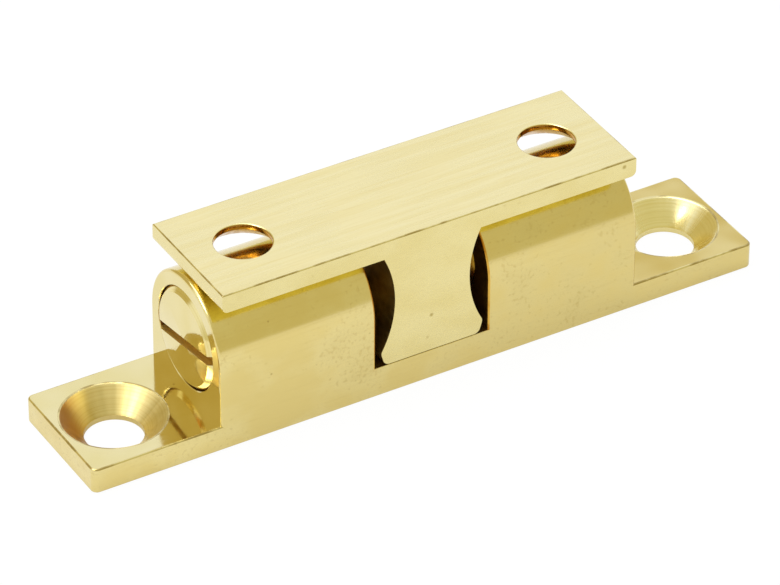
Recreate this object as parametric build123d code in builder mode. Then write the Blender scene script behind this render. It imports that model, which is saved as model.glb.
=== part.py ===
from build123d import *
import os
from math import cos, pi, sin, sqrt

# Double ball catch in brass. Millimetres.
# X runs along the housing, Y across it and Z up from the face that is screwed down.
# The origin is the middle of that face.

# Housing: an arch-section bar with a flat lug milled at each end
overall_length = 43.0
width = 8.0
lug_length = 8.0
lug_thickness = 1.6
lug_corner_radius = 0.4
arch_end_round = 0.2
edge_break = 0.12
bore_height = 5.15

# Slot across the housing for the tongue of the strike
slot_width = 7.3
slot_floor_height = 1.95

# Countersunk fixing holes in the lugs
lug_hole_radius = 1.7
lug_countersink_radius = 3.0
lug_hole_from_end = 3.4
countersink_angle = 90

# Balls and the stepped bores that hold them
ball_radius = 2.75
ball_bore_clearance = 0.05
ball_to_tongue = 0.12
lip_thickness = 0.45
lip_reach = 0.25
lip_seat_depth = 0.25
thread_bore_step = 0.3
thread_bore_depth = 3.0
thread_mouth_chamfer = 0.05

# Slotted adjusting screws that close the bores
adjuster_clearance = 0.05
adjuster_length = 1.6
adjuster_proud = 0.15
adjuster_edge_chamfer = 0.3
driver_slot_width = 0.55
driver_slot_depth = 0.7
driver_slot_drop = 0.2
left_driver_slot_angle = -9.0
right_driver_slot_angle = 35.0

# Compression springs between screw and ball
spring_wire_radius = 0.225
spring_to_bore = 0.15
spring_seat_gap = 0.04
spring_turns = 5.5
spring_closed_turns = 1.0
spring_closed_pitch = 0.52
spring_points_per_turn = 12

# Strike: a plate with a waisted tongue, sliced from one T-shaped extrusion
strike_end_inset = 0.2
strike_thickness = 1.2
strike_corner_radius = 0.15
strike_end_round = 0.35
strike_to_housing = 0.05
strike_hole_radius = 1.65
strike_countersink_radius = 2.5
strike_hole_from_end = 3.5
waist_to_slot = 1.23
waist_above_bore = 1.05
scallop_radius = 6.8
foot_to_floor = 0.03
foot_side_height = 0.85
foot_taper = 0.25
foot_corner_radius = 0.3
foot_shoulder_radius = 0.35

# Places worked out from the sizes above
half_length = overall_length / 2
half_width = width / 2
half_slot = slot_width / 2
housing_end = half_length - lug_length
housing_height = bore_height + half_width
lug_hole_x = half_length - lug_hole_from_end
strike_length = 2 * (housing_end - strike_end_inset)
strike_hole_spacing = strike_length - 2 * strike_hole_from_end
plate_underside = housing_height + strike_to_housing
waist_height = bore_height + waist_above_bore
scallop_centre_x = half_slot - waist_to_slot + scallop_radius
foot_bottom = slot_floor_height + foot_to_floor
foot_shoulder = foot_bottom + foot_side_height
lip_hole_radius = ball_radius - lip_reach
ball_bore_radius = ball_radius + ball_bore_clearance
thread_bore_radius = ball_bore_radius + thread_bore_step
adjuster_radius = thread_bore_radius - adjuster_clearance
adjuster_outer_x = housing_end + adjuster_proud
adjuster_inner_x = adjuster_outer_x - adjuster_length


def scallop_x(height):
    """Half width of the tongue at a height on its scalloped flank."""
    return scallop_centre_x - sqrt(scallop_radius**2 - (height - waist_height) ** 2)


# A ball rests in the scallop, a little below its waist, and so draws the strike down
ball_reach = scallop_radius - ball_radius - ball_to_tongue
ball_x = scallop_centre_x - sqrt(ball_reach**2 - (waist_height - bore_height) ** 2)

# The first coil of a spring rests on the back of its ball, the last one on the screw
spring_radius = ball_bore_radius - spring_to_bore - spring_wire_radius
coil_to_ball = ball_radius + spring_wire_radius + spring_seat_gap
spring_start_x = ball_x + sqrt(coil_to_ball**2 - spring_radius**2)
spring_end_x = adjuster_inner_x - spring_wire_radius - spring_seat_gap

bore_axis = Axis((0, 0, bore_height), (1, 0, 0))


# Housing: bar, then lugs and slot milled across it, then bores and countersinks
with BuildPart() as housing:
    with BuildSketch(Plane.YZ) as bar_section:
        with BuildLine():
            Polyline(
                (half_width, bore_height),
                (half_width, 0),
                (-half_width, 0),
                (-half_width, bore_height),
            )
            RadiusArc((-half_width, bore_height), (half_width, bore_height), half_width)
        make_face()
    extrude(amount=half_length, both=True)

    with BuildSketch(Plane.XZ) as milled_away:
        for side in (-1, 1):
            with Locations((side * (half_length + housing_end) / 2, lug_thickness)):
                Rectangle(lug_length, housing_height, align=(Align.CENTER, Align.MIN))
        with Locations((0, slot_floor_height)):
            Rectangle(slot_width, housing_height, align=(Align.CENTER, Align.MIN))
    extrude(amount=width, both=True, mode=Mode.SUBTRACT)

    fillet(
        housing.edges().filter_by(Axis.Z).group_by(SortBy.LENGTH)[0],
        lug_corner_radius,
    )

    for wall, radius in ((1, arch_end_round), (2, edge_break)):
        walls = housing.faces().filter_by(Axis.X).group_by(Axis.X)
        both_sides = walls[wall] + walls[-1 - wall]
        outlines = [
            edge for edge in both_sides.edges() if edge.center().Z > slot_floor_height + edge_break
        ]
        fillet(outlines, radius)

    with BuildSketch(Plane.XZ) as bore_profile:
        with BuildLine():
            Polyline(
                (half_slot, bore_height),
                (half_slot, bore_height + lip_hole_radius),
                (half_slot + lip_thickness - lip_seat_depth, bore_height + lip_hole_radius),
                (half_slot + lip_thickness, bore_height + ball_bore_radius),
                (housing_end - thread_bore_depth, bore_height + ball_bore_radius),
                (housing_end - thread_bore_depth, bore_height + thread_bore_radius),
                (housing_end - thread_mouth_chamfer, bore_height + thread_bore_radius),
                (housing_end, bore_height + thread_bore_radius + thread_mouth_chamfer),
                (housing_end, bore_height),
                close=True,
            )
        make_face()
        mirror(about=Plane.YZ)
    revolve(axis=bore_axis, mode=Mode.SUBTRACT)

    with Locations((-lug_hole_x, 0, lug_thickness), (lug_hole_x, 0, lug_thickness)):
        CounterSinkHole(
            radius=lug_hole_radius,
            counter_sink_radius=lug_countersink_radius,
            depth=lug_thickness,
            counter_sink_angle=countersink_angle,
        )

housing.part.label = "housing"


# Strike: plate and tongue in one profile, extruded across the catch
with BuildPart() as strike:
    with BuildSketch(Plane.XZ) as strike_section:
        with Locations((0, plate_underside)):
            Rectangle(strike_length, strike_thickness, align=(Align.CENTER, Align.MIN))
        with BuildLine():
            flank = RadiusArc(
                (scallop_x(plate_underside), plate_underside),
                (scallop_x(foot_shoulder), foot_shoulder),
                -scallop_radius,
            )
            foot_edge = Polyline(
                flank @ 1, (scallop_x(foot_shoulder) - foot_taper, foot_bottom), (0, foot_bottom)
            )
            Polyline(foot_edge @ 1, (0, plate_underside), flank @ 0)
        make_face()
        mirror(about=Plane.YZ)
        foot_shoulders = strike_section.vertices().group_by(Axis.Y)[1]
        fillet(foot_shoulders, foot_shoulder_radius)
        foot_corners = strike_section.vertices().group_by(Axis.Y)[0]
        fillet(foot_corners, foot_corner_radius)
        plate_ends = strike_section.vertices().group_by(Axis.X)
        lower_corners = plate_ends[0].sort_by(Axis.Y)[:1] + plate_ends[-1].sort_by(Axis.Y)[:1]
        fillet(lower_corners, strike_end_round)
    extrude(amount=half_width, both=True)

    plate_corners = strike.edges().filter_by(Axis.Z).group_by(SortBy.LENGTH)[-1]
    fillet(plate_corners, strike_corner_radius)
    fillet(strike.faces().sort_by(Axis.Z)[-1].edges(), edge_break)

    screw_side = Plane(origin=(0, 0, plate_underside), z_dir=(0, 0, -1))
    with Locations(screw_side):
        with GridLocations(strike_hole_spacing, 0, 2, 1):
            CounterSinkHole(
                radius=strike_hole_radius,
                counter_sink_radius=strike_countersink_radius,
                depth=strike_thickness,
                counter_sink_angle=countersink_angle,
            )

strike.part.label = "strike"


def make_ball(name, side):
    """One ball, on the bore axis, seated against the tongue's scallop."""
    with BuildPart() as ball:
        with Locations((side * ball_x, 0, bore_height)):
            Sphere(ball_radius)
    ball.part.label = name
    return ball.part


def make_adjuster(name, side, slot_angle):
    """One slotted screw, its outer face just proud of the housing's end."""
    outer_face = Plane(
        origin=(side * adjuster_outer_x, 0, bore_height), x_dir=(0, 1, 0), z_dir=(-side, 0, 0)
    )
    with BuildPart() as adjuster:
        with BuildSketch(outer_face):
            Circle(adjuster_radius)
        extrude(amount=adjuster_length)
        chamfer(adjuster.edges().filter_by(GeomType.CIRCLE), adjuster_edge_chamfer)
        with BuildSketch(outer_face):
            with Locations((0, side * driver_slot_drop)):
                Rectangle(2 * adjuster_radius, driver_slot_width, rotation=side * -slot_angle)
        extrude(amount=driver_slot_depth, mode=Mode.SUBTRACT)
    adjuster.part.label = name
    return adjuster.part


def spring_rise(turn):
    """Distance along the spring at a number of turns: closed, then open, then closed again."""
    closed_rise = spring_closed_turns * spring_closed_pitch
    open_turns = spring_turns - 2 * spring_closed_turns
    open_rise = spring_end_x - spring_start_x - 2 * closed_rise
    if turn < spring_closed_turns:
        return turn * spring_closed_pitch
    if turn > spring_turns - spring_closed_turns:
        return spring_end_x - spring_start_x - (spring_turns - turn) * spring_closed_pitch
    return closed_rise + (turn - spring_closed_turns) / open_turns * open_rise


def spring_point(index, side):
    """One point of the wire's centre line."""
    turn = index / spring_points_per_turn
    angle = 2 * pi * turn
    return (
        side * (spring_start_x + spring_rise(turn)),
        spring_radius * cos(angle),
        bore_height + side * spring_radius * sin(angle),
    )


def make_spring(name, side):
    """One compression spring with closed ends, wound right-handed along the bore axis."""
    last_point = round(spring_turns * spring_points_per_turn)
    with BuildPart() as spring:
        with BuildLine() as wire_path:
            Spline(*[spring_point(index, side) for index in range(last_point + 1)])
        wire_start = Plane(origin=wire_path.line @ 0, z_dir=wire_path.line % 0)
        with BuildSketch(wire_start):
            Circle(spring_wire_radius)
        sweep(is_frenet=True)
    spring.part.label = name
    return spring.part


pieces = [
    housing.part,
    strike.part,
    make_ball("left_ball", -1),
    make_ball("right_ball", 1),
    make_spring("left_spring", -1),
    make_spring("right_spring", 1),
    make_adjuster("left_adjuster", -1, left_driver_slot_angle),
    make_adjuster("right_adjuster", 1, right_driver_slot_angle),
]

os.makedirs("parts", exist_ok=True)
for piece in pieces:
    export_step(piece, f"parts/{piece.label}.step")
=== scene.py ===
from math import asin, cos, floor, pi, radians, sin, sqrt

import bmesh
import bpy
from mathutils import Matrix, Vector


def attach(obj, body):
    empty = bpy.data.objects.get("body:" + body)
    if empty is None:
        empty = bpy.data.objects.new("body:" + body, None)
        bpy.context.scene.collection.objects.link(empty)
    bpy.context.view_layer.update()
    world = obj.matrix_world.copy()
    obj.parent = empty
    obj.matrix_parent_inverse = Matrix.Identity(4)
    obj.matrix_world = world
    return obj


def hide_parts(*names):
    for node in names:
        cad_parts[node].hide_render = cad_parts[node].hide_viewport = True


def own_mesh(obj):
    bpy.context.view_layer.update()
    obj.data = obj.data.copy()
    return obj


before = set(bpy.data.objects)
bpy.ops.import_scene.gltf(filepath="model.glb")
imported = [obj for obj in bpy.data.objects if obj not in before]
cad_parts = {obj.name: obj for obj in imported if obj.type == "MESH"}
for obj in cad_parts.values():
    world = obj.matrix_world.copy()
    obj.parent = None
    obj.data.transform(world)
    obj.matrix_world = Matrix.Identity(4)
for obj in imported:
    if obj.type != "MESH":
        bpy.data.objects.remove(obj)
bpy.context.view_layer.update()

# Sizes in millimetres. The main ones are the same as the solids have.
MM = 0.001

HOUSING_LENGTH = 43.0
WIDTH = 8.0
LUG_LENGTH = 8.0
LUG_THICKNESS = 1.6
LUG_CORNER = 0.4
ARCH_END_ROUND = 0.2
BORE_HEIGHT = 5.15
SLOT_WIDTH = 7.3
SLOT_FLOOR = 1.95
HOUSING_END = HOUSING_LENGTH / 2 - LUG_LENGTH
HALF_WIDTH = WIDTH / 2
HALF_SLOT = SLOT_WIDTH / 2
HOUSING_TOP = BORE_HEIGHT + HALF_WIDTH

LUG_HOLE_X = 18.1
LUG_HOLE_RADIUS = 1.7
LUG_COUNTERSINK_RADIUS = 3.0
# The soft rim where a countersink meets the top of its lug
RIM_START = 0.07
RIM_DROP = 0.03
RIM_WIDTH = 0.15
RIM_RISE = 0.01

BALL_RADIUS = 2.75
BALL_X = 5.433
BALL_BORE_RADIUS = 2.8
LIP_RADIUS = 2.5
LIP_THICKNESS = 0.45
LIP_SEAT_DEPTH = 0.25

# The solids have plain bores and screws: the thread itself is only here. Its start, root and
# crest are moved a little, so that no surface lies in the plane of another that it cuts.
THREAD_BORE_RADIUS = 3.1
THREAD_BORE_DEPTH = 3.0
THREAD_MOUTH_CHAMFER = 0.04
THREAD_MOUTH_DEPTH = 1.13
THREAD_PITCH = 0.6
THREAD_HEIGHT = 0.2
THREAD_ROOT_SINK = 0.02
THREAD_CREST_DROP = 0.01
THREAD_START_SHIFT = 0.0037
THREAD_RUN_OUT = 0.05
SPARE_TURNS = 3

SCREW_RADIUS = 3.05
SCREW_OUTER_X = 13.65
SCREW_LENGTH = 1.6
SCREW_LAND = 0.6
SCREW_CHAMFER = 0.3
SCREW_EDGE_BREAK = 0.04
DRIVER_SLOT_WIDTH = 0.55
DRIVER_SLOT_DEPTH = 0.7
DRIVER_SLOT_DROP = 0.2
DRIVER_SLOT_ANGLES = {"left": 9.0, "right": 35.0}

# Each spring is in two parts: the moving coils, which shorten with the ball, and the fixed coils,
# which shorten with the screw. As the ball goes back, the lead keeps the first coil ahead of it,
# and the retreat draws the last moving coil back from the fixed ones.
WIRE_RADIUS = 0.225
COIL_RADIUS = 2.425
COIL_START_X = 7.224
COIL_END_X = 11.785
COIL_TURNS = 5.5
CLOSED_TURNS = 1.0
CLOSED_PITCH = 0.52
MOVING_TURNS = 4.0
SPLIT_GAP = 0.012

STRIKE_LENGTH = 26.6
STRIKE_THICKNESS = 1.2
STRIKE_END_ROUND = 0.35
STRIKE_BOTTOM = 9.2
STRIKE_TOP = STRIKE_BOTTOM + STRIKE_THICKNESS
STRIKE_TOP_SHARE = 0.75
STRIKE_HOLE_X = 9.8
STRIKE_HOLE_RADIUS = 1.65
STRIKE_COUNTERSINK_RADIUS = 2.5
WAIST_HEIGHT = 6.2
SCALLOP_CENTRE_X = 9.22
SCALLOP_RADIUS = 6.8
FOOT_SHOULDER = 2.83
FOOT_BOTTOM = 1.98
FOOT_TAPER = 0.25
FOOT_CORNER = 0.3
FOOT_SHOULDER_SETBACK = 0.17

EDGE_BREAK = 0.12
SEAM_BREAK = 0.03
SEAM_SHARE = SEAM_BREAK / EDGE_BREAK
CLEAR = 0.3
NEAR = 0.01
SAME_POINT = 0.0005
X_AXIS = (1, 0, 0)
Z_AXIS = (0, 0, 1)

# How finely the curves are divided
ARCH_STEPS = 72
ARCH_END_SEGMENTS = 6
TURNED_STEPS = 120
THREAD_STEPS = 72
FLANK_STEPS = 32
CORNER_SEGMENTS = 8
PLATE_END_SEGMENTS = 10
BALL_DIVISIONS = 5
COIL_STEPS = 40
WIRE_SIDES = 16
BREAK_SEGMENTS = 5
SCREW_BREAK_SEGMENTS = 2

# Edges turned by more than the sharp angle are broken, and those under the smooth one shaded over
SHARP_ANGLE = radians(32)
SMOOTH_ANGLE = radians(20)

# Points closer than these, in metres, are made one
SPUN_MERGE = 1e-7
THREAD_MERGE = 1e-6
CUT_MERGE = 1e-9


# Shapes


def mm(*values):
    """A vector in metres from sizes in millimetres."""
    return Vector(values) * MM


def near(value, target):
    """Says whether a size is the target, give or take a hundredth of a millimetre."""
    return abs(value - target) < NEAR


def new_piece(name, shape):
    """A new object with the finished bmesh as its mesh."""
    bmesh.ops.recalc_face_normals(shape, faces=shape.faces)
    mesh = bpy.data.meshes.new(name)
    shape.to_mesh(mesh)
    shape.free()
    piece = bpy.data.objects.new(name, mesh)
    bpy.context.scene.collection.objects.link(piece)
    return piece


def block(shape, low, high):
    """Adds a block between two corners."""
    centre = (mm(*low) + mm(*high)) / 2
    size = mm(*high) - mm(*low)
    place = Matrix.Translation(centre) @ Matrix.Diagonal((*size, 1))
    bmesh.ops.create_cube(shape, size=1, matrix=place)


def joined_points(shape, corners):
    """Adds points with an edge from each to the next."""
    points = [shape.verts.new(mm(*corner)) for corner in corners]
    return points + [shape.edges.new(pair) for pair in zip(points, points[1:])]


def turned(shape, corners, centre, axis):
    """Adds a turned solid: a profile that starts and ends on its axis, spun once round."""
    bmesh.ops.spin(
        shape,
        geom=joined_points(shape, corners),
        cent=mm(*centre),
        axis=axis,
        angle=2 * pi,
        steps=TURNED_STEPS,
        use_merge=True,
    )
    bmesh.ops.remove_doubles(shape, verts=shape.verts, dist=SPUN_MERGE)


def extruded(shape, outline, along):
    """Fills a closed outline and extrudes it."""
    face = bmesh.ops.contextual_create(shape, geom=outline)["faces"]
    grown = bmesh.ops.extrude_face_region(shape, geom=face, use_keep_orig=True)["geom"]
    moved = [item for item in grown if isinstance(item, bmesh.types.BMVert)]
    bmesh.ops.translate(shape, verts=moved, vec=along)


def apply_modifiers(piece):
    """Makes the modified shape the piece's own mesh, with points that fell together made one."""
    bpy.context.view_layer.update()
    result = piece.evaluated_get(bpy.context.evaluated_depsgraph_get())
    finished = bpy.data.meshes.new_from_object(result)
    piece.modifiers.clear()
    shape = bmesh.new()
    shape.from_mesh(finished)
    bmesh.ops.dissolve_degenerate(shape, dist=SAME_POINT * MM, edges=shape.edges)
    shape.to_mesh(finished)
    shape.free()
    piece.data = finished
    piece.data.name = piece.name


def combine(piece, other, how="DIFFERENCE"):
    """Cuts the other shape out of the piece, or adds it, and removes it."""
    cut = piece.modifiers.new(other.name, "BOOLEAN")
    cut.operation = how
    cut.solver = "EXACT"
    cut.object = other
    apply_modifiers(piece)
    bpy.data.objects.remove(other)


def round_edges(piece, chosen, radius, segments):
    """Rounds the edges that the test picks by their middle in millimetres and their direction."""
    shape = bmesh.new()
    shape.from_mesh(piece.data)
    picked = []
    for edge in shape.edges:
        start, end = (vert.co / MM for vert in edge.verts)
        if chosen((start + end) / 2, (end - start).normalized()):
            picked.append(edge)
    bmesh.ops.bevel(
        shape,
        geom=picked,
        offset=radius * MM,
        offset_type="OFFSET",
        affect="EDGES",
        segments=segments,
        profile=0.5,
        material=-1,
        clamp_overlap=True,
    )
    shape.to_mesh(piece.data)
    shape.free()


def break_edges(piece, share=lambda p: 1.0):
    """Breaks the sharp outer edges a little, each by its share of the usual amount."""
    shape = bmesh.new()
    shape.from_mesh(piece.data)
    shares = shape.edges.layers.float.new("bevel_weight_edge")
    for edge in shape.edges:
        if edge.is_convex and edge.calc_face_angle(0) > SHARP_ANGLE:
            edge[shares] = share((edge.verts[0].co + edge.verts[1].co) / 2 / MM)
    shape.to_mesh(piece.data)
    shape.free()
    edge_break = piece.modifiers.new("edge break", "BEVEL")
    edge_break.width = EDGE_BREAK * MM
    edge_break.segments = BREAK_SEGMENTS
    edge_break.limit_method = "WEIGHT"
    edge_break.use_clamp_overlap = False
    apply_modifiers(piece)
    piece.data.attributes.remove(piece.data.attributes["bevel_weight_edge"])


def smooth(piece):
    """Shades curved faces smoothly, with flat faces kept flat and corners kept crisp."""
    piece.data.shade_smooth()
    piece.data.set_sharp_from_angle(angle=SMOOTH_ANGLE)
    flat = piece.modifiers.new("flat faces", "WEIGHTED_NORMAL")
    flat.mode = "FACE_AREA"
    flat.weight = 100
    flat.keep_sharp = True


def countersink(name, hole_x, profile):
    """The shape that two countersinks cut, from a profile of radii and heights."""
    cutter = bmesh.new()
    for x in (-hole_x, hole_x):
        turned(cutter, [(x + radius, 0, z) for radius, z in profile], (x, 0, 0), Z_AXIS)
    return new_piece(name, cutter)


def thread(shape, low, high, root, crest):
    """Adds a rod with a right-hand thread along the bore axis, cut off square at both ends."""
    # It is wound past both ends before it is cut off
    turns = round((high - low) / THREAD_PITCH) + SPARE_TURNS
    start = THREAD_PITCH * (floor(low / THREAD_PITCH) - 1) - THREAD_START_SHIFT
    flat = THREAD_PITCH / 8
    profile = [
        (0, root),
        (flat, root),
        (THREAD_PITCH / 2, crest),
        (THREAD_PITCH / 2 + flat, crest),
        (THREAD_PITCH, root),
    ]
    bmesh.ops.spin(
        shape,
        geom=joined_points(shape, [(start + x, 0, BORE_HEIGHT + r) for x, r in profile]),
        cent=mm(start, 0, BORE_HEIGHT),
        axis=X_AXIS,
        dvec=mm(THREAD_PITCH / THREAD_STEPS, 0, 0),
        angle=2 * pi * turns,
        steps=THREAD_STEPS * turns,
    )
    bmesh.ops.remove_doubles(shape, verts=shape.verts, dist=THREAD_MERGE)
    for x, towards in ((low, -1), (high, 1)):
        bmesh.ops.bisect_plane(
            shape,
            geom=shape.verts[:] + shape.edges[:] + shape.faces[:],
            dist=CUT_MERGE,
            plane_co=mm(x, 0, 0),
            plane_no=(towards, 0, 0),
            clear_outer=True,
        )
        rim = [
            edge for edge in shape.edges if edge.is_boundary and near(edge.verts[0].co.x / MM, x)
        ]
        bmesh.ops.contextual_create(shape, geom=rim)


# Housing


def make_housing():
    """The arch-section bar on its slab with two lugs: slotted, bored, tapped and countersunk."""
    bar = bmesh.new()
    start = bar.verts.new(mm(-HOUSING_END, HALF_WIDTH, BORE_HEIGHT))
    bmesh.ops.spin(
        bar,
        geom=[start],
        cent=mm(-HOUSING_END, 0, BORE_HEIGHT),
        axis=X_AXIS,
        angle=pi,
        steps=ARCH_STEPS,
    )
    # The bar's foot ends inside the slab that it is joined to
    ends = [vert for vert in bar.verts if len(vert.link_edges) == 1]
    feet = bmesh.ops.extrude_vert_indiv(bar, verts=ends)["verts"]
    bmesh.ops.translate(bar, verts=feet, vec=mm(0, 0, LUG_THICKNESS / 2 - BORE_HEIGHT))
    bmesh.ops.contextual_create(bar, geom=feet)
    extruded(bar, bar.edges[:], mm(2 * HOUSING_END, 0, 0))
    housing = new_piece("housing_body", bar)

    def on_end_above_lug(p, way):
        return near(abs(p.x), HOUSING_END) and p.z > LUG_THICKNESS

    round_edges(housing, on_end_above_lug, ARCH_END_ROUND, ARCH_END_SEGMENTS)

    slab = bmesh.new()
    half_length = HOUSING_LENGTH / 2
    block(slab, (-half_length, -HALF_WIDTH, 0), (half_length, HALF_WIDTH, LUG_THICKNESS))
    lugs = new_piece("lugs", slab)
    round_edges(lugs, lambda p, way: near(abs(way.z), 1), LUG_CORNER, CORNER_SEGMENTS)
    break_edges(lugs)
    combine(housing, lugs, "UNION")

    milled = bmesh.new()
    block(milled, (-HALF_SLOT, -WIDTH, SLOT_FLOOR), (HALF_SLOT, WIDTH, 2 * HOUSING_TOP))
    combine(housing, new_piece("milled", milled))

    def slot_share(p):
        if abs(p.x) > HALF_SLOT + CLEAR:
            return 0.0
        return SEAM_SHARE if near(p.z, SLOT_FLOOR) else 1.0

    break_edges(housing, slot_share)

    ball_seat = HALF_SLOT + LIP_THICKNESS
    thread_start = HOUSING_END - THREAD_BORE_DEPTH
    tapped_radius = THREAD_BORE_RADIUS - THREAD_HEIGHT
    mouth_x = HOUSING_END - THREAD_MOUTH_DEPTH
    chamfer_x = HOUSING_END - THREAD_MOUTH_CHAMFER
    half_profile = [
        (ball_seat - LIP_SEAT_DEPTH, LIP_RADIUS),
        (ball_seat, BALL_BORE_RADIUS),
        (thread_start, BALL_BORE_RADIUS),
        (thread_start, tapped_radius),
        (mouth_x, tapped_radius),
        (mouth_x, THREAD_BORE_RADIUS),
        (chamfer_x, THREAD_BORE_RADIUS),
        (chamfer_x + CLEAR, THREAD_BORE_RADIUS + CLEAR),
        (chamfer_x + CLEAR, 0),
    ]
    profile = [(-x, radius) for x, radius in reversed(half_profile)] + half_profile
    bored = bmesh.new()
    turned(bored, [(x, 0, BORE_HEIGHT + r) for x, r in profile], (0, 0, BORE_HEIGHT), X_AXIS)
    combine(housing, new_piece("bored", bored))

    cone_depth = LUG_COUNTERSINK_RADIUS - LUG_HOLE_RADIUS
    hole_profile = [
        (0, -CLEAR),
        (LUG_HOLE_RADIUS, -CLEAR),
        (LUG_HOLE_RADIUS, LUG_THICKNESS - cone_depth),
        (LUG_COUNTERSINK_RADIUS - RIM_START, LUG_THICKNESS - RIM_START),
        (LUG_COUNTERSINK_RADIUS, LUG_THICKNESS - RIM_DROP),
        (LUG_COUNTERSINK_RADIUS + RIM_WIDTH, LUG_THICKNESS + RIM_RISE),
        (LUG_COUNTERSINK_RADIUS + RIM_WIDTH, LUG_THICKNESS + CLEAR),
        (0, LUG_THICKNESS + CLEAR),
    ]
    combine(housing, countersink("countersunk", LUG_HOLE_X, hole_profile))

    for side in (-1, 1):
        low, high = sorted((side * (thread_start + THREAD_RUN_OUT), side * (mouth_x + SEAM_BREAK)))
        root = tapped_radius - THREAD_ROOT_SINK
        tapped = bmesh.new()
        thread(tapped, low, high, root, THREAD_BORE_RADIUS - THREAD_CREST_DROP)
        combine(housing, new_piece("tapped", tapped))
    smooth(housing)
    return housing


# Strike


def make_strike():
    """The T-shaped slice: plate and waisted tongue, with two holes countersunk from below."""
    half_plate = STRIKE_LENGTH / 2
    drop = STRIKE_BOTTOM - WAIST_HEIGHT
    shoulder_drop = WAIST_HEIGHT - FOOT_SHOULDER
    underside_x = SCALLOP_CENTRE_X - sqrt(SCALLOP_RADIUS**2 - drop**2)
    section = bmesh.new()
    flank = section.verts.new(mm(underside_x, -HALF_WIDTH, STRIKE_BOTTOM))
    bmesh.ops.spin(
        section,
        geom=[flank],
        cent=mm(SCALLOP_CENTRE_X, -HALF_WIDTH, WAIST_HEIGHT),
        axis=(0, -1, 0),
        angle=asin(drop / SCALLOP_RADIUS) + asin(shoulder_drop / SCALLOP_RADIUS),
        steps=FLANK_STEPS,
    )
    shoulder = min(section.verts, key=lambda vert: vert.co.z)
    foot = bmesh.ops.extrude_vert_indiv(section, verts=[shoulder])["verts"]
    bmesh.ops.translate(section, verts=foot, vec=mm(-FOOT_TAPER, 0, FOOT_BOTTOM - FOOT_SHOULDER))
    for size in ((half_plate - underside_x, 0, 0), (0, 0, STRIKE_THICKNESS)):
        flank = bmesh.ops.extrude_vert_indiv(section, verts=[flank])["verts"][0]
        bmesh.ops.translate(section, verts=[flank], vec=mm(*size))
    outline = section.verts[:] + section.edges[:]
    bmesh.ops.mirror(section, geom=outline, axis="X", merge_dist=SPUN_MERGE)
    for height in (FOOT_BOTTOM, STRIKE_TOP):
        loose = [v for v in section.verts if len(v.link_edges) == 1 and near(v.co.z / MM, height)]
        bmesh.ops.contextual_create(section, geom=loose)
    extruded(section, section.edges[:], mm(0, WIDTH, 0))
    strike = new_piece("strike_plate", section)

    def under_plate_end(p, way):
        return near(p.z, STRIKE_BOTTOM) and near(abs(p.x), half_plate)

    def along_foot_corner(p, way):
        return near(p.z, FOOT_BOTTOM) and near(abs(way.y), 1)

    def along_foot_shoulder(p, way):
        return near(p.z, FOOT_SHOULDER) and near(abs(way.y), 1)

    round_edges(strike, under_plate_end, STRIKE_END_ROUND, PLATE_END_SEGMENTS)
    round_edges(strike, along_foot_corner, FOOT_CORNER, CORNER_SEGMENTS)
    round_edges(strike, along_foot_shoulder, FOOT_SHOULDER_SETBACK, CORNER_SEGMENTS)

    cone_depth = STRIKE_COUNTERSINK_RADIUS - STRIKE_HOLE_RADIUS
    hole_profile = [
        (0, STRIKE_BOTTOM - CLEAR),
        (STRIKE_COUNTERSINK_RADIUS + CLEAR, STRIKE_BOTTOM - CLEAR),
        (STRIKE_HOLE_RADIUS, STRIKE_BOTTOM + cone_depth),
        (STRIKE_HOLE_RADIUS, STRIKE_TOP + CLEAR),
        (0, STRIKE_TOP + CLEAR),
    ]
    combine(strike, countersink("strike countersunk", STRIKE_HOLE_X, hole_profile))
    break_edges(strike, lambda p: STRIKE_TOP_SHARE if near(p.z, STRIKE_TOP) else SEAM_SHARE)
    smooth(strike)
    return strike


# Balls, springs and adjusting screws


def make_ball(side_name, side):
    """One ball, ground round."""
    ground = bmesh.new()
    place = Matrix.Translation(mm(side * BALL_X, 0, BORE_HEIGHT))
    bmesh.ops.create_icosphere(
        ground, subdivisions=BALL_DIVISIONS, radius=BALL_RADIUS * MM, matrix=place
    )
    ball = new_piece(f"{side_name}_ball_ground", ground)
    ball.data.shade_smooth()
    return ball


def make_coils(name, side, start_x, runs):
    """Part of a spring: the wire wound through its runs, each of some turns and a rise."""
    coils = bmesh.new()
    section = bmesh.ops.create_circle(
        coils,
        segments=WIRE_SIDES,
        radius=WIRE_RADIUS * MM,
        cap_ends=True,
        matrix=Matrix.Translation(mm(start_x, COIL_RADIUS, BORE_HEIGHT)),
    )["verts"]
    end = list(dict.fromkeys(section + [edge for vert in section for edge in vert.link_edges]))
    for turns, rise in runs:
        steps = round(COIL_STEPS * turns)
        end = bmesh.ops.spin(
            coils,
            geom=end,
            cent=mm(0, 0, BORE_HEIGHT),
            axis=X_AXIS,
            dvec=mm(rise / steps, 0, 0),
            angle=2 * pi * turns,
            steps=steps,
        )["geom_last"]
    rim = [item for item in end if isinstance(item, bmesh.types.BMEdge)]
    bmesh.ops.contextual_create(coils, geom=rim)
    if side < 0:
        half_turn = Matrix.Rotation(pi, 3, "Y")
        bmesh.ops.rotate(coils, verts=coils.verts, cent=mm(0, 0, BORE_HEIGHT), matrix=half_turn)
    spring = new_piece(name, coils)
    spring.data.shade_smooth()
    return spring


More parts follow.
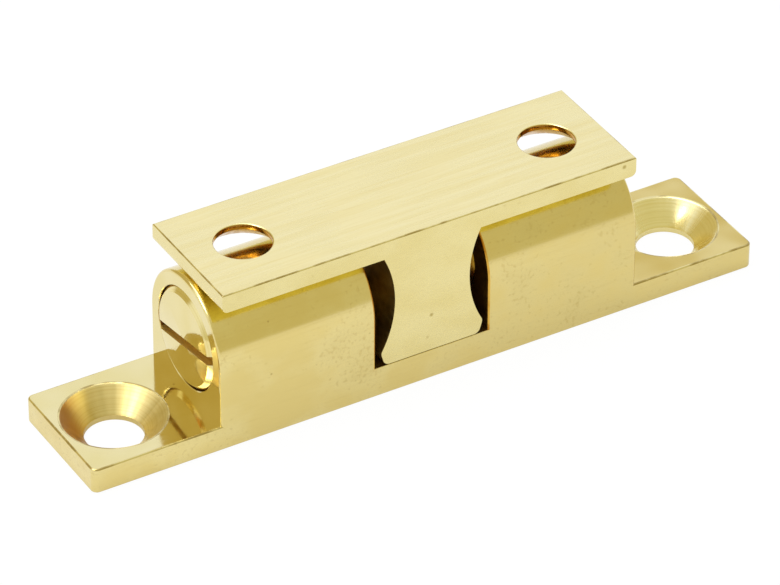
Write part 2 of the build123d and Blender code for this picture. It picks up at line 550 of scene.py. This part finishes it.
def make_screw(side_name, side):
    """One slotted adjusting screw: threaded behind a plain, chamfered end."""
    land_x = SCREW_OUTER_X - SCREW_LAND
    low, high = sorted((side * (SCREW_OUTER_X - SCREW_LENGTH), side * land_x))
    rod = bmesh.new()
    thread(rod, low, high, SCREW_RADIUS - THREAD_HEIGHT, SCREW_RADIUS - THREAD_CREST_DROP)
    screw = new_piece(f"{side_name}_adjusting_screw", rod)

    land_profile = [
        (land_x - SEAM_BREAK, 0),
        (land_x - SEAM_BREAK, SCREW_RADIUS),
        (SCREW_OUTER_X - SCREW_CHAMFER, SCREW_RADIUS),
        (SCREW_OUTER_X, SCREW_RADIUS - SCREW_CHAMFER),
        (SCREW_OUTER_X, 0),
    ]
    corners = [(side * x, 0, BORE_HEIGHT + r) for x, r in land_profile]
    land = bmesh.new()
    turned(land, corners, (0, 0, BORE_HEIGHT), X_AXIS)
    combine(screw, new_piece("land", land), "UNION")

    outer, inner = side * (SCREW_OUTER_X + CLEAR), side * (SCREW_OUTER_X - DRIVER_SLOT_DEPTH)
    low, high = sorted((outer, inner))
    middle = BORE_HEIGHT - DRIVER_SLOT_DROP
    half_cut = DRIVER_SLOT_WIDTH / 2
    angle = radians(DRIVER_SLOT_ANGLES[side_name]) * side
    turn = Matrix.Rotation(angle, 3, "X")
    slotted = bmesh.new()
    block(slotted, (low, -WIDTH, middle - half_cut), (high, WIDTH, middle + half_cut))
    bmesh.ops.rotate(slotted, verts=slotted.verts, cent=mm(0, 0, middle), matrix=turn)
    combine(screw, new_piece("slotted", slotted))

    def on_outer_face(p, way):
        return near(abs(p.x), SCREW_OUTER_X)

    round_edges(screw, on_outer_face, SCREW_EDGE_BREAK, SCREW_BREAK_SEGMENTS)
    smooth(screw)
    return screw


housing = make_housing()
strike = make_strike()

open_turns = COIL_TURNS - 2 * CLOSED_TURNS
closed_rise = CLOSED_TURNS * CLOSED_PITCH
open_pitch = (COIL_END_X - COIL_START_X - 2 * closed_rise) / open_turns
moving_open_turns = MOVING_TURNS - CLOSED_TURNS
fixed_open_turns = open_turns - moving_open_turns
split_x = COIL_START_X + closed_rise + moving_open_turns * open_pitch
moving_rise = (moving_open_turns - SPLIT_GAP) * open_pitch

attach(housing, "housing")
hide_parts("housing")
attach(strike, "strike")
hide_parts("strike")

balls, springs, screws = [], [], []
for side_name, side in (("left", -1), ("right", 1)):
    ball = make_ball(side_name, side)
    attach(ball, f"{side_name}_ball")
    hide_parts(f"{side_name}_ball")
    balls.append(ball)

    moving = make_coils(
        f"{side_name}_spring_moving_coils",
        side,
        COIL_START_X,
        [(CLOSED_TURNS, closed_rise), (moving_open_turns - SPLIT_GAP, moving_rise)],
    )
    fixed = make_coils(
        f"{side_name}_spring_fixed_coils",
        side,
        split_x,
        [(fixed_open_turns, fixed_open_turns * open_pitch), (CLOSED_TURNS, closed_rise)],
    )
    springs += [moving, fixed]
    screw = make_screw(side_name, side)
    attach(screw, f"{side_name}_adjuster")
    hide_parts(f"{side_name}_adjuster")
    screws.append(screw)

    for coils in (moving, fixed):
        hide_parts(f"{side_name}_spring")
    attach(moving, "housing")
    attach(fixed, f"{side_name}_spring")
    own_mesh(moving)
    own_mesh(fixed)


# Finishes
# Places are in millimetres, so a scale says how many marks there are to a millimetre.
# Real buffing, belt and saw lines are some hundredths of a millimetre wide, which is less than
# a pixel of the picture. Fine lines are drawn about 0.1 mm wide, as coarse as they need to show.

EASED = {"interpolation_type": "SMOOTHSTEP"}
# With this setting the Mix node takes its share at input 0 and its colours at 6 and 7, and gives
# the result at output 2
COLOURS = {"data_type": "RGBA"}
PIT_SPACING = 1.25


def linear(colour):
    """A colour with alpha from its sRGB hex value."""
    channels = [int(colour[place : place + 2], 16) / 255 for place in (1, 3, 5)]
    bright = [c / 12.92 if c <= 0.04045 else ((c + 0.055) / 1.055) ** 2.4 for c in channels]
    return (*bright, 1)


def add(tree, kind, settings=(), inputs=()):
    """Adds one node, each input a constant or the output to link from, and gives its outputs."""
    made = tree.nodes.new(kind)
    for name, value in dict(settings).items():
        setattr(made, name, value)
    for name, value in dict(inputs).items():
        if isinstance(value, bpy.types.NodeSocket):
            tree.links.new(value, made.inputs[name])
        else:
            made.inputs[name].default_value = value
    return made.outputs


def empty_material(name):
    """A material with no nodes yet."""
    material = bpy.data.materials.new(name)
    material.use_nodes = True
    material.node_tree.nodes.clear()
    return material


def new_finish(name):
    """A new material, its nodes, and the piece's own coordinates in millimetres."""
    material = empty_material(name)
    tree = material.node_tree
    own = add(tree, "ShaderNodeTexCoord")["Object"]
    scaled = {0: own, "Scale": 1 / MM}
    place = add(tree, "ShaderNodeVectorMath", {"operation": "SCALE"}, scaled)[0]
    return material, tree, place


def marks(tree, place, per_mm, detail=2.0):
    """Irregular marks, so many to the millimetre along each axis."""
    spread = add(tree, "ShaderNodeVectorMath", {"operation": "MULTIPLY"}, {0: place, 1: per_mm})
    inputs = {"Vector": spread[0], "Scale": 1.0, "Detail": detail}
    return add(tree, "ShaderNodeTexNoise", inputs=inputs)[0]


def layered(tree, *layers):
    """Some kinds of marks laid over one another, each with its weight."""
    result = 0.0
    for layer, weight in layers:
        sum_so_far = {0: layer, 1: weight, 2: result}
        result = add(tree, "ShaderNodeMath", {"operation": "MULTIPLY_ADD"}, sum_so_far)[0]
    return result


def ranges(value, low, high, at_low, at_high):
    """The inputs that take a value from the range low to high over into another range."""
    return {
        "Value": value,
        "From Min": low,
        "From Max": high,
        "To Min": at_low,
        "To Max": at_high,
    }


def tinted(tree, tone, tint, value, low, high, most=1.0):
    """The tone, going over into the tint as the value rises from low to high."""
    share = add(tree, "ShaderNodeMapRange", EASED, ranges(value, low, high, 0.0, most))[0]
    return add(tree, "ShaderNodeMix", COLOURS, {0: share, 6: tone, 7: tint})[2]


def pitted(tree, place, tone, pit_tone, size):
    """The tone with a few small pits, none alike, and the pits. Size is radius over spacing."""
    cells = add(tree, "ShaderNodeTexVoronoi", inputs={"Vector": place, "Scale": 1 / PIT_SPACING})
    here = add(tree, "ShaderNodeSeparateColor", inputs={0: cells["Color"]})[0]
    depth = add(tree, "ShaderNodeMapRange", EASED, ranges(here, 0.3, 1.0, 0.0, 0.8))[0]
    inwards = ranges(cells["Distance"], 0.3 * size, size, depth, 0.0)
    inside = add(tree, "ShaderNodeMapRange", EASED, inwards)[0]
    return add(tree, "ShaderNodeMix", COLOURS, {0: inside, 6: tone, 7: pit_tone})[2], inside


def metal(material, tone, roughness, height, microns, coat=0.0):
    """Ends a material: bare or lacquered metal whose marks are some thousandths of a mm deep.

    The roughness is given as a value, its low and high, and the roughness at each.
    """
    tree = material.node_tree
    rough = add(tree, "ShaderNodeMapRange", EASED, ranges(*roughness))[0]
    depth = {"Height": height, "Distance": microns * MM * MM, "Strength": 1.0}
    relief = add(tree, "ShaderNodeBump", inputs=depth)[0]
    surface = {
        "Base Color": tone,
        "Metallic": 1.0,
        "Roughness": rough,
        "Normal": relief,
        "Coat Weight": coat,
        "Coat Roughness": 0.04,
        "Coat Normal": relief,
    }
    shader = add(tree, "ShaderNodeBsdfPrincipled", inputs=surface)[0]
    add(tree, "ShaderNodeOutputMaterial", inputs={"Surface": shader})
    return material


def polished_lacquered_brass():
    # Buffed along its length on a soft wheel, lacquered and then worn by handling: bright but
    # cloudy, with faint lines, a lacquer that isn't quite level, pits of up to 0.2 mm, and a
    # painted shade that browns the right end
    material, tree, place = new_finish("polished_lacquered_brass")
    clouds = marks(tree, place, (0.3, 0.4, 0.4), 3.0)
    lines = marks(tree, place, (0.3, 8.0, 8.0), 3.0)
    peel = marks(tree, place, (1.4, 1.4, 1.4), 1.0)
    specks = marks(tree, place, (4.0, 4.0, 4.0), 4.0)
    dirty = layered(tree, (specks, 1.0), (clouds, 0.5))
    along = add(tree, "ShaderNodeSeparateXYZ", inputs={0: place})[0]
    # Painted shade: the x term browns the right end steadily, and the clouds are the handling marks
    handling_and_right_shade = layered(tree, (clouds, 1.0), (along, 0.012))
    tone = tinted(tree, linear("#e5d084"), linear("#ebda96"), clouds, 0.35, 0.65)
    tone = tinted(tree, tone, linear("#d0ba6c"), handling_and_right_shade, 0.4, 0.9, 0.45)
    tone = tinted(tree, tone, linear("#d2b564"), lines, 0.5, 0.75, 0.12)
    tone = tinted(tree, tone, linear("#c3a450"), dirty, 0.82, 1.0, 0.3)
    tone, pits = pitted(tree, place, tone, linear("#b0964a"), 0.08)
    roughness = (layered(tree, (clouds, 0.6), (lines, 0.4)), 0.3, 0.7, 0.12, 0.22)
    height = layered(tree, (lines, 0.08), (peel, 1.0), (pits, -2.0))
    return metal(material, tone, roughness, height, 1.2, coat=0.5)


def mirror_polished_brass(name, dark, light):
    # Milled flat and buffed to a mirror: it reflects clearly, but the buffing left it a bit wavy
    material, tree, place = new_finish(name)
    waves = marks(tree, place, (0.35, 0.35, 0.35), 1.0)
    lines = marks(tree, place, (0.6, 6.0, 1.0), 3.0)
    tone = tinted(tree, linear(dark), linear(light), waves, 0.3, 0.7)
    tone, pits = pitted(tree, place, tone, linear("#a48a40"), 0.07)
    height = layered(tree, (lines, 0.06), (waves, 5.0), (pits, -1.0))
    return metal(material, tone, (lines, 0.3, 0.7, 0.06, 0.12), height, 1.5, coat=0.3)


def brushed_lacquered_brass():
    # Drawn along a fine abrasive belt, then lacquered: silky, with unbroken lines along X
    material, tree, place = new_finish("brushed_lacquered_brass")
    fine = marks(tree, place, (0.3, 11.0, 11.0), 4.0)
    broad = marks(tree, place, (0.12, 2.5, 2.5), 2.0)
    clouds = marks(tree, place, (0.2, 0.2, 0.2))
    tone = tinted(tree, linear("#eddd9b"), linear("#f1e3a7"), broad, 0.3, 0.7)
    tone = tinted(tree, tone, linear("#d6bd70"), fine, 0.52, 0.72, 0.25)
    roughness = (layered(tree, (fine, 0.6), (clouds, 0.4)), 0.35, 0.65, 0.24, 0.38)
    height = layered(tree, (fine, 0.8), (broad, 0.3))
    return metal(material, tone, roughness, height, 1.4, coat=0.6)


def sliced_lacquered_brass():
    # The sides where the strike was sliced from its bar: fine grain, hardly any lines, some pits
    material, tree, place = new_finish("sliced_lacquered_brass")
    grain = marks(tree, place, (2.0, 6.0, 6.0), 3.0)
    clouds = marks(tree, place, (0.3, 0.3, 0.5))
    tone = tinted(tree, linear("#ebdb96"), linear("#f0e2a2"), clouds, 0.3, 0.7)
    tone = tinted(tree, tone, linear("#dcc67c"), grain, 0.55, 0.8, 0.1)
    tone, pits = pitted(tree, place, tone, linear("#b09a4c"), 0.15)
    height = layered(tree, (grain, 0.08), (pits, -2.0))
    return metal(material, tone, (grain, 0.3, 0.7, 0.2, 0.32), height, 1.0, coat=0.5)


def turned_brass(name, axis, centre, smoothest, roughest, tones, painted_amber_shade=0.0):
    # Cut by a turning tool and hardly polished: rings about 0.1 mm apart round the axis, chatter
    # across them, and on the side away from the middle, an amber tint that is painted shade
    material, tree, place = new_finish(name)
    parts = add(tree, "ShaderNodeSeparateXYZ", inputs={0: place})
    first = parts[2]
    if axis == "Z":
        first = add(tree, "ShaderNodeMath", {"operation": "ABSOLUTE"}, {0: parts[0]})[0]
    outwards = add(tree, "ShaderNodeMath", {"operation": "SUBTRACT"}, {0: first, 1: centre})[0]
    radial = add(tree, "ShaderNodeCombineXYZ", inputs={0: outwards, 1: parts[1]})
    radius = add(tree, "ShaderNodeVectorMath", {"operation": "LENGTH"}, {0: radial[0]})["Value"]
    angle = add(tree, "ShaderNodeMath", {"operation": "ARCTAN2"}, {0: parts[1], 1: outwards})[0]
    in_line = {"noise_dimensions": "1D"}
    ring_inputs = {"W": radius, "Scale": 9.0, "Detail": 3.0}
    rings = add(tree, "ShaderNodeTexNoise", in_line, ring_inputs)[0]
    chatter_inputs = {"W": angle, "Scale": 4.0, "Detail": 3.0}
    chatter = add(tree, "ShaderNodeTexNoise", in_line, chatter_inputs)[0]
    light, dark = tones
    tone = tinted(tree, linear(light), linear(dark), rings, 0.35, 0.7, 0.5)
    # Painted shade: the wall farther from the middle turns amber, the colour of light bounced
    # between the walls
    tone = tinted(tree, tone, linear("#a06a22"), outwards, 0.6, 2.2, painted_amber_shade)
    height = layered(tree, (rings, 0.06), (chatter, 0.8))
    return metal(material, tone, (chatter, 0.35, 0.65, smoothest, roughest), height, 1.2)


def sawn_brass():
    # Cut by a slitting saw and left rough: dull, with lines across the slot
    material, tree, place = new_finish("sawn_slot_brass")
    cuts = marks(tree, place, (7.0, 1.0, 1.0), 3.0)
    tone = tinted(tree, linear("#e8cf80"), linear("#d8b85c"), cuts, 0.3, 0.7)
    return metal(material, tone, (cuts, 0.3, 0.7, 0.45, 0.6), cuts, 2.0)


def edge_brass(name, dark, light):
    # Edges, where the lacquer wears thin or dries thick: darker or more amber, and not evenly
    material, tree, place = new_finish(name)
    along = marks(tree, place, (0.9, 0.9, 0.9), 4.0)
    tone = tinted(tree, linear(dark), linear(light), along, 0.35, 0.6)
    return metal(material, tone, (along, 0.3, 0.7, 0.3, 0.18), along, 1.5, coat=0.2)


def tarnished_brass(name, dark, light):
    # Left as it came off the cutter or out of the die and never polished: dull and uneven, and
    # browner the longer the air has been at it
    material, tree, place = new_finish(name)
    clouds = marks(tree, place, (0.5, 0.5, 0.5), 3.0)
    cuts = marks(tree, place, (1.0, 1.5, 6.0), 2.0)
    tone = tinted(tree, linear(dark), linear(light), clouds, 0.3, 0.7)
    return metal(material, tone, (cuts, 0.3, 0.7, 0.32, 0.5), cuts, 3.0)


def ground_brass():
    # Ground round and tumbled bright: clear reflections, with fine scratches that run every way
    material, tree, place = new_finish("ground_ball_brass")
    one_way = marks(tree, place, (0.6, 8.0, 8.0), 2.0)
    other_way = marks(tree, place, (8.0, 0.8, 5.0), 2.0)
    tone = tinted(tree, linear("#e8d48a"), linear("#d9bf6e"), one_way, 0.4, 0.7)
    height = layered(tree, (one_way, 1.0), (other_way, 1.0))
    return metal(material, tone, (other_way, 0.35, 0.65, 0.06, 0.16), height, 0.6)


def drawn_steel():
    # Wire pulled through a die: grey and bright, with fine lines, a little uneven in tone
    material, tree, place = new_finish("drawn_steel_wire")
    lines = marks(tree, place, (9.0, 1.2, 1.2), 3.0)
    clouds = marks(tree, place, (0.8, 0.8, 0.8))
    greys = {0: clouds, 6: linear("#a9a8a4"), 7: linear("#cbcac6")}
    tone = add(tree, "ShaderNodeMix", COLOURS, greys)[2]
    return metal(material, tone, (lines, 0.3, 0.7, 0.22, 0.38), lines, 1.5)


def dress(piece, usual, *others):
    """Gives the piece its usual finish, and others where their test picks a face by its middle."""
    finishes = list(dict.fromkeys([usual, *(finish for finish, chosen in others)]))
    for finish in finishes:
        piece.data.materials.append(finish)
    for face in piece.data.polygons:
        middle = face.center / MM
        for finish, chosen in others:
            if chosen(middle, face.normal):
                face.material_index = finishes.index(finish)
                break


def from_lug_hole(p):
    """Distance from the axis of the nearer lug hole."""
    return sqrt((abs(p.x) - LUG_HOLE_X) ** 2 + p.y**2)


def from_strike_hole(p):
    """Distance from the axis of the nearer strike hole."""
    return sqrt((abs(p.x) - STRIKE_HOLE_X) ** 2 + p.y**2)


def from_bore(p):
    """Distance from the bore axis."""
    return sqrt(p.y**2 + (p.z - BORE_HEIGHT) ** 2)


SCREW_TONES = ("#efdf9c", "#e2cb7e")
# The lighter countersink tones are a painted highlight, and the darker ones are painted shade
HIGHLIT_COUNTERSINK_TONES = ("#f6eab0", "#ead68a")
SHADED_COUNTERSINK_TONES = ("#d9c88a", "#c9b16a")
AMBER_TONES = ("#cc9c46", "#a8762c")

polished = polished_lacquered_brass()
mirror = mirror_polished_brass("mirror_polished_brass", "#e9d994", "#eee0a6")
# A darker copy of the mirror finish, which is painted shade on the right lug's top
right_lug_shade = mirror_polished_brass("yellowed_mirror_brass", "#cfb45c", "#e2cd84")
brushed = brushed_lacquered_brass()
sliced = sliced_lacquered_brass()
# The left countersink: rough, in tones darkened as painted shade, with painted amber shade on its
# far wall
rough_shaded_countersink = turned_brass(
    "dull_countersink_brass", "Z", LUG_HOLE_X, 0.36, 0.46, SHADED_COUNTERSINK_TONES, painted_amber_shade=0.9
)
# The right countersink: smoother, in tones lightened as a painted highlight
smooth_highlit_countersink = turned_brass(
    "bright_countersink_brass", "Z", LUG_HOLE_X, 0.19, 0.28, HIGHLIT_COUNTERSINK_TONES
)
strike_countersink = turned_brass(
    "strike_countersink_brass", "Z", STRIKE_HOLE_X, 0.12, 0.25, AMBER_TONES
)
faced = turned_brass("faced_screw_brass", "X", BORE_HEIGHT, 0.1, 0.2, SCREW_TONES)
sawn = sawn_brass()
# The darker tone of these edges is partly wear and partly painted shade, the dark line that a
# rounded edge reflects
worn_and_shaded_edge = edge_brass("worn_edge_brass", "#b29c5c", "#e6d696")
amber_edge = edge_brass("thickly_lacquered_edge_brass", "#c88a26", "#e6b850")
tarnished = tarnished_brass("tarnished_brass", "#7c5a28", "#a88240")
extruded_side = tarnished_brass("extruded_side_brass", "#a88a48", "#c8ac66")
underside = tarnished_brass("plate_underside_brass", "#e6d660", "#f0e274")
ball_brass = ground_brass()
wire_steel = drawn_steel()

# How much of a face's normal lies along an axis: nearly all where it is flat, less where it leans
FLAT = 0.99
CONE_LEAN = 0.95
BREAK_LEAN = 0.3
HOLE_LEAN = 0.6
FLANK_LEAN = 0.5
UNDER_LEAN = 0.2
UPRIGHT = 0.1

# How far round a hole, or above the slot's floor, another finish goes
PLATE_HOLE_MARGIN = 0.35
CONE_MARGIN = 0.1
SLOT_FLOOR_MARGIN = 0.2

# Each test says whether a face is there from its middle, in millimetres, and its normal


def in_lug_countersink(p, n):
    return from_lug_hole(p) < LUG_COUNTERSINK_RADIUS and abs(n.z) < CONE_LEAN


def in_slot_or_bore(p, n):
    in_bore = from_bore(p) < THREAD_BORE_RADIUS and abs(p.x) < HOUSING_END - NEAR
    on_slot_wall = near(abs(p.x), HALF_SLOT) and p.z > SLOT_FLOOR
    return in_bore or on_slot_wall or near(p.z, SLOT_FLOOR)


def on_housing_end(p, n):
    return near(abs(p.x), HOUSING_END) and abs(n.x) > FLAT


def on_lug_top(p, n):
    return near(p.z, LUG_THICKNESS) and n.z > FLAT


def on_lug_edge(p, n):
    return LUG_THICKNESS - EDGE_BREAK < p.z < LUG_THICKNESS and BREAK_LEAN < n.z < FLAT


def on_slot_edge(p, n):
    above_floor = p.z > SLOT_FLOOR + SLOT_FLOOR_MARGIN
    return 0 < abs(p.x) - HALF_SLOT < EDGE_BREAK and above_floor


def on_plate_top(p, n):
    return n.z > FLAT and p.z > STRIKE_BOTTOM


def on_plate_edge(p, n):
    on_break = n.z > BREAK_LEAN and p.z > STRIKE_TOP - EDGE_BREAK
    return on_break and from_strike_hole(p) > STRIKE_HOLE_RADIUS + PLATE_HOLE_MARGIN


def on_tongue_flank(p, n):
    return p.z < STRIKE_BOTTOM and abs(n.x) > FLANK_LEAN and abs(n.y) < FLANK_LEAN


def under_plate(p, n):
    return abs(p.z - STRIKE_BOTTOM) < SEAM_BREAK and n.z < -UNDER_LEAN


def in_strike_hole(p, n):
    in_reach = from_strike_hole(p) < STRIKE_COUNTERSINK_RADIUS + CONE_MARGIN
    return p.z > STRIKE_BOTTOM and in_reach and n.z < HOLE_LEAN


def on_screw_end(p, n):
    return near(abs(p.x), SCREW_OUTER_X) and abs(n.x) > FLAT


def in_driver_slot(p, n):
    on_wall = abs(n.x) < UPRIGHT and from_bore(p) < SCREW_RADIUS - SCREW_CHAMFER
    return on_wall or near(abs(p.x), SCREW_OUTER_X - DRIVER_SLOT_DEPTH)


dress(
    housing,
    polished,
    # The countersinks carry painted shade on the left and a painted highlight on the right
    (rough_shaded_countersink, lambda p, n: in_lug_countersink(p, n) and p.x < 0),
    (smooth_highlit_countersink, in_lug_countersink),
    (tarnished, in_slot_or_bore),
    (mirror, on_housing_end),
    # Painted shade: the right lug's top takes the darker copy of the mirror finish
    (right_lug_shade, lambda p, n: on_lug_top(p, n) and p.x > 0),
    (mirror, on_lug_top),
    # Lug top edges: worn, with a painted dark line of shade
    (worn_and_shaded_edge, on_lug_edge),
    (amber_edge, on_slot_edge),
)
dress(
    strike,
    sliced,
    (brushed, on_plate_top),
    # Plate top edges: worn, with a painted dark line of shade
    (worn_and_shaded_edge, on_plate_edge),
    (extruded_side, on_tongue_flank),
    (underside, under_plate),
    (strike_countersink, in_strike_hole),
)
for piece in balls:
    dress(piece, ball_brass)
for piece in springs:
    dress(piece, wire_steel)
for piece in screws:
    dress(piece, faced, (mirror, on_screw_end), (sawn, in_driver_slot))


# Floor, light and camera
# Here a length is in metres unless mm() or MM is with it

FLOOR_SIZE = 3.0
FLOOR_DROP = 0.02
FLOOR_WHITE_TO_CAMERA = 0.95
FLOOR_WHITE_IN_METAL = 0.6
FLOOR_GLOW = 0.84
FLOOR_GLOW_TO_CAMERA = 0.17

floor_mesh = bmesh.new()
floor_place = Matrix.Translation(mm(0, 0, -FLOOR_DROP))
bmesh.ops.create_grid(
    floor_mesh, x_segments=1, y_segments=1, size=FLOOR_SIZE, matrix=floor_place
)
floor_piece = new_piece("studio_floor", floor_mesh)
floor_material = empty_material("white_studio_floor")
tree = floor_material.node_tree
path = add(tree, "ShaderNodeLightPath")
# White paper that takes a shadow, and mostly a plain glow where the camera or the metal sees it
share = layered(
    tree,
    (path["Is Camera Ray"], FLOOR_WHITE_TO_CAMERA),
    (path["Is Glossy Ray"], FLOOR_WHITE_IN_METAL),
)
glow_steps = {0: path["Is Camera Ray"], 1: FLOOR_GLOW_TO_CAMERA, 2: FLOOR_GLOW}
strength = add(tree, "ShaderNodeMath", {"operation": "MULTIPLY_ADD"}, glow_steps)[0]
paper = add(tree, "ShaderNodeBsdfDiffuse", inputs={"Color": linear("#fcfcfb")})[0]
glow_inputs = {"Color": linear("#ffffff"), "Strength": strength}
glow = add(tree, "ShaderNodeEmission", inputs=glow_inputs)[0]
mixed = add(tree, "ShaderNodeMixShader", inputs={0: share, 1: paper, 2: glow})[0]
add(tree, "ShaderNodeOutputMaterial", inputs={"Surface": mixed})
floor_piece.data.materials.append(floor_material)

# A white tent round the catch, open and dim towards the camera, with a brown card at the back left
TENT_COLOUR = (0.97, 1.0, 1.1, 1)
OPENING_COLOUR = (0.69, 0.65, 0.42, 1)
CARD_COLOUR = (0.61, 0.52, 0.26, 1)
OPENING_EDGES = (-0.35, 0.05)
CARD_EDGES = (cos(radians(37)), cos(radians(27)))
CARD_WAY = Vector((-0.36, 0.86, 0.36)).normalized()

world = bpy.data.worlds.new("white_light_tent")
bpy.context.scene.world = world
world.use_nodes = True
tree = world.node_tree
tree.nodes.clear()
way = add(tree, "ShaderNodeTexCoord")["Generated"]
backwards = add(tree, "ShaderNodeSeparateXYZ", inputs={0: way})[1]
card_inputs = {0: way, 1: CARD_WAY}
towards_card = add(tree, "ShaderNodeVectorMath", {"operation": "DOT_PRODUCT"}, card_inputs)["Value"]
tent = tinted(tree, OPENING_COLOUR, TENT_COLOUR, backwards, *OPENING_EDGES)
tent = tinted(tree, tent, CARD_COLOUR, towards_card, *CARD_EDGES)
surround = add(tree, "ShaderNodeBackground", inputs={"Color": tent, "Strength": 1.0})[0]
add(tree, "ShaderNodeOutputWorld", inputs={"Surface": surround})

LAMP_DISTANCE = 0.5
for name, lamp_way, size, power in (
    ("overhead_lamp", (-0.1, 0.3, 0.95), 0.3, 0.5),
    ("left_lamp", (-0.66, -0.03, 0.75), 0.22, 0.75),
):
    light = bpy.data.lights.new(name, "AREA")
    light.shape = "DISK"
    light.size = size
    light.energy = power
    lamp = bpy.data.objects.new(name, light)
    bpy.context.scene.collection.objects.link(lamp)
    lamp_way = Vector(lamp_way).normalized()
    aimed = lamp_way.to_track_quat("Z", "Y").to_matrix().to_4x4()
    lamp.matrix_world = Matrix.Translation(lamp_way * LAMP_DISTANCE) @ aimed

# The camera stands where a fit to the photo's edges puts it
VIEW_AZIMUTH = radians(30.567)
VIEW_ELEVATION = radians(35.711)
VIEW_ROLL = radians(0.245)
VIEW_DISTANCE = 311.21
VIEW_TARGET = (-5.508, -8.663, 10.771)
PHOTO_WIDTH = 780
FOCAL_PIXELS = 5743.7
SENSOR_WIDTH = 36.0
NEAREST_SEEN = 0.01
FARTHEST_SEEN = 10.0

view = bpy.data.cameras.new("photo_view")
view.sensor_width = SENSOR_WIDTH
view.lens = FOCAL_PIXELS / PHOTO_WIDTH * SENSOR_WIDTH
view.clip_start = NEAREST_SEEN
view.clip_end = FARTHEST_SEEN
camera = bpy.data.objects.new("photo_camera", view)
bpy.context.scene.collection.objects.link(camera)
forward = Vector(
    (
        sin(VIEW_AZIMUTH) * cos(VIEW_ELEVATION),
        cos(VIEW_AZIMUTH) * cos(VIEW_ELEVATION),
        -sin(VIEW_ELEVATION),
    )
)
aim = forward.to_track_quat("-Z", "Y").to_matrix().to_4x4()
stand = Matrix.Translation(mm(*VIEW_TARGET) - forward * VIEW_DISTANCE * MM)
camera.matrix_world = stand @ aim @ Matrix.Rotation(VIEW_ROLL, 4, "Z")
bpy.context.scene.camera = camera

bpy.context.scene.view_settings.view_transform = "Standard"
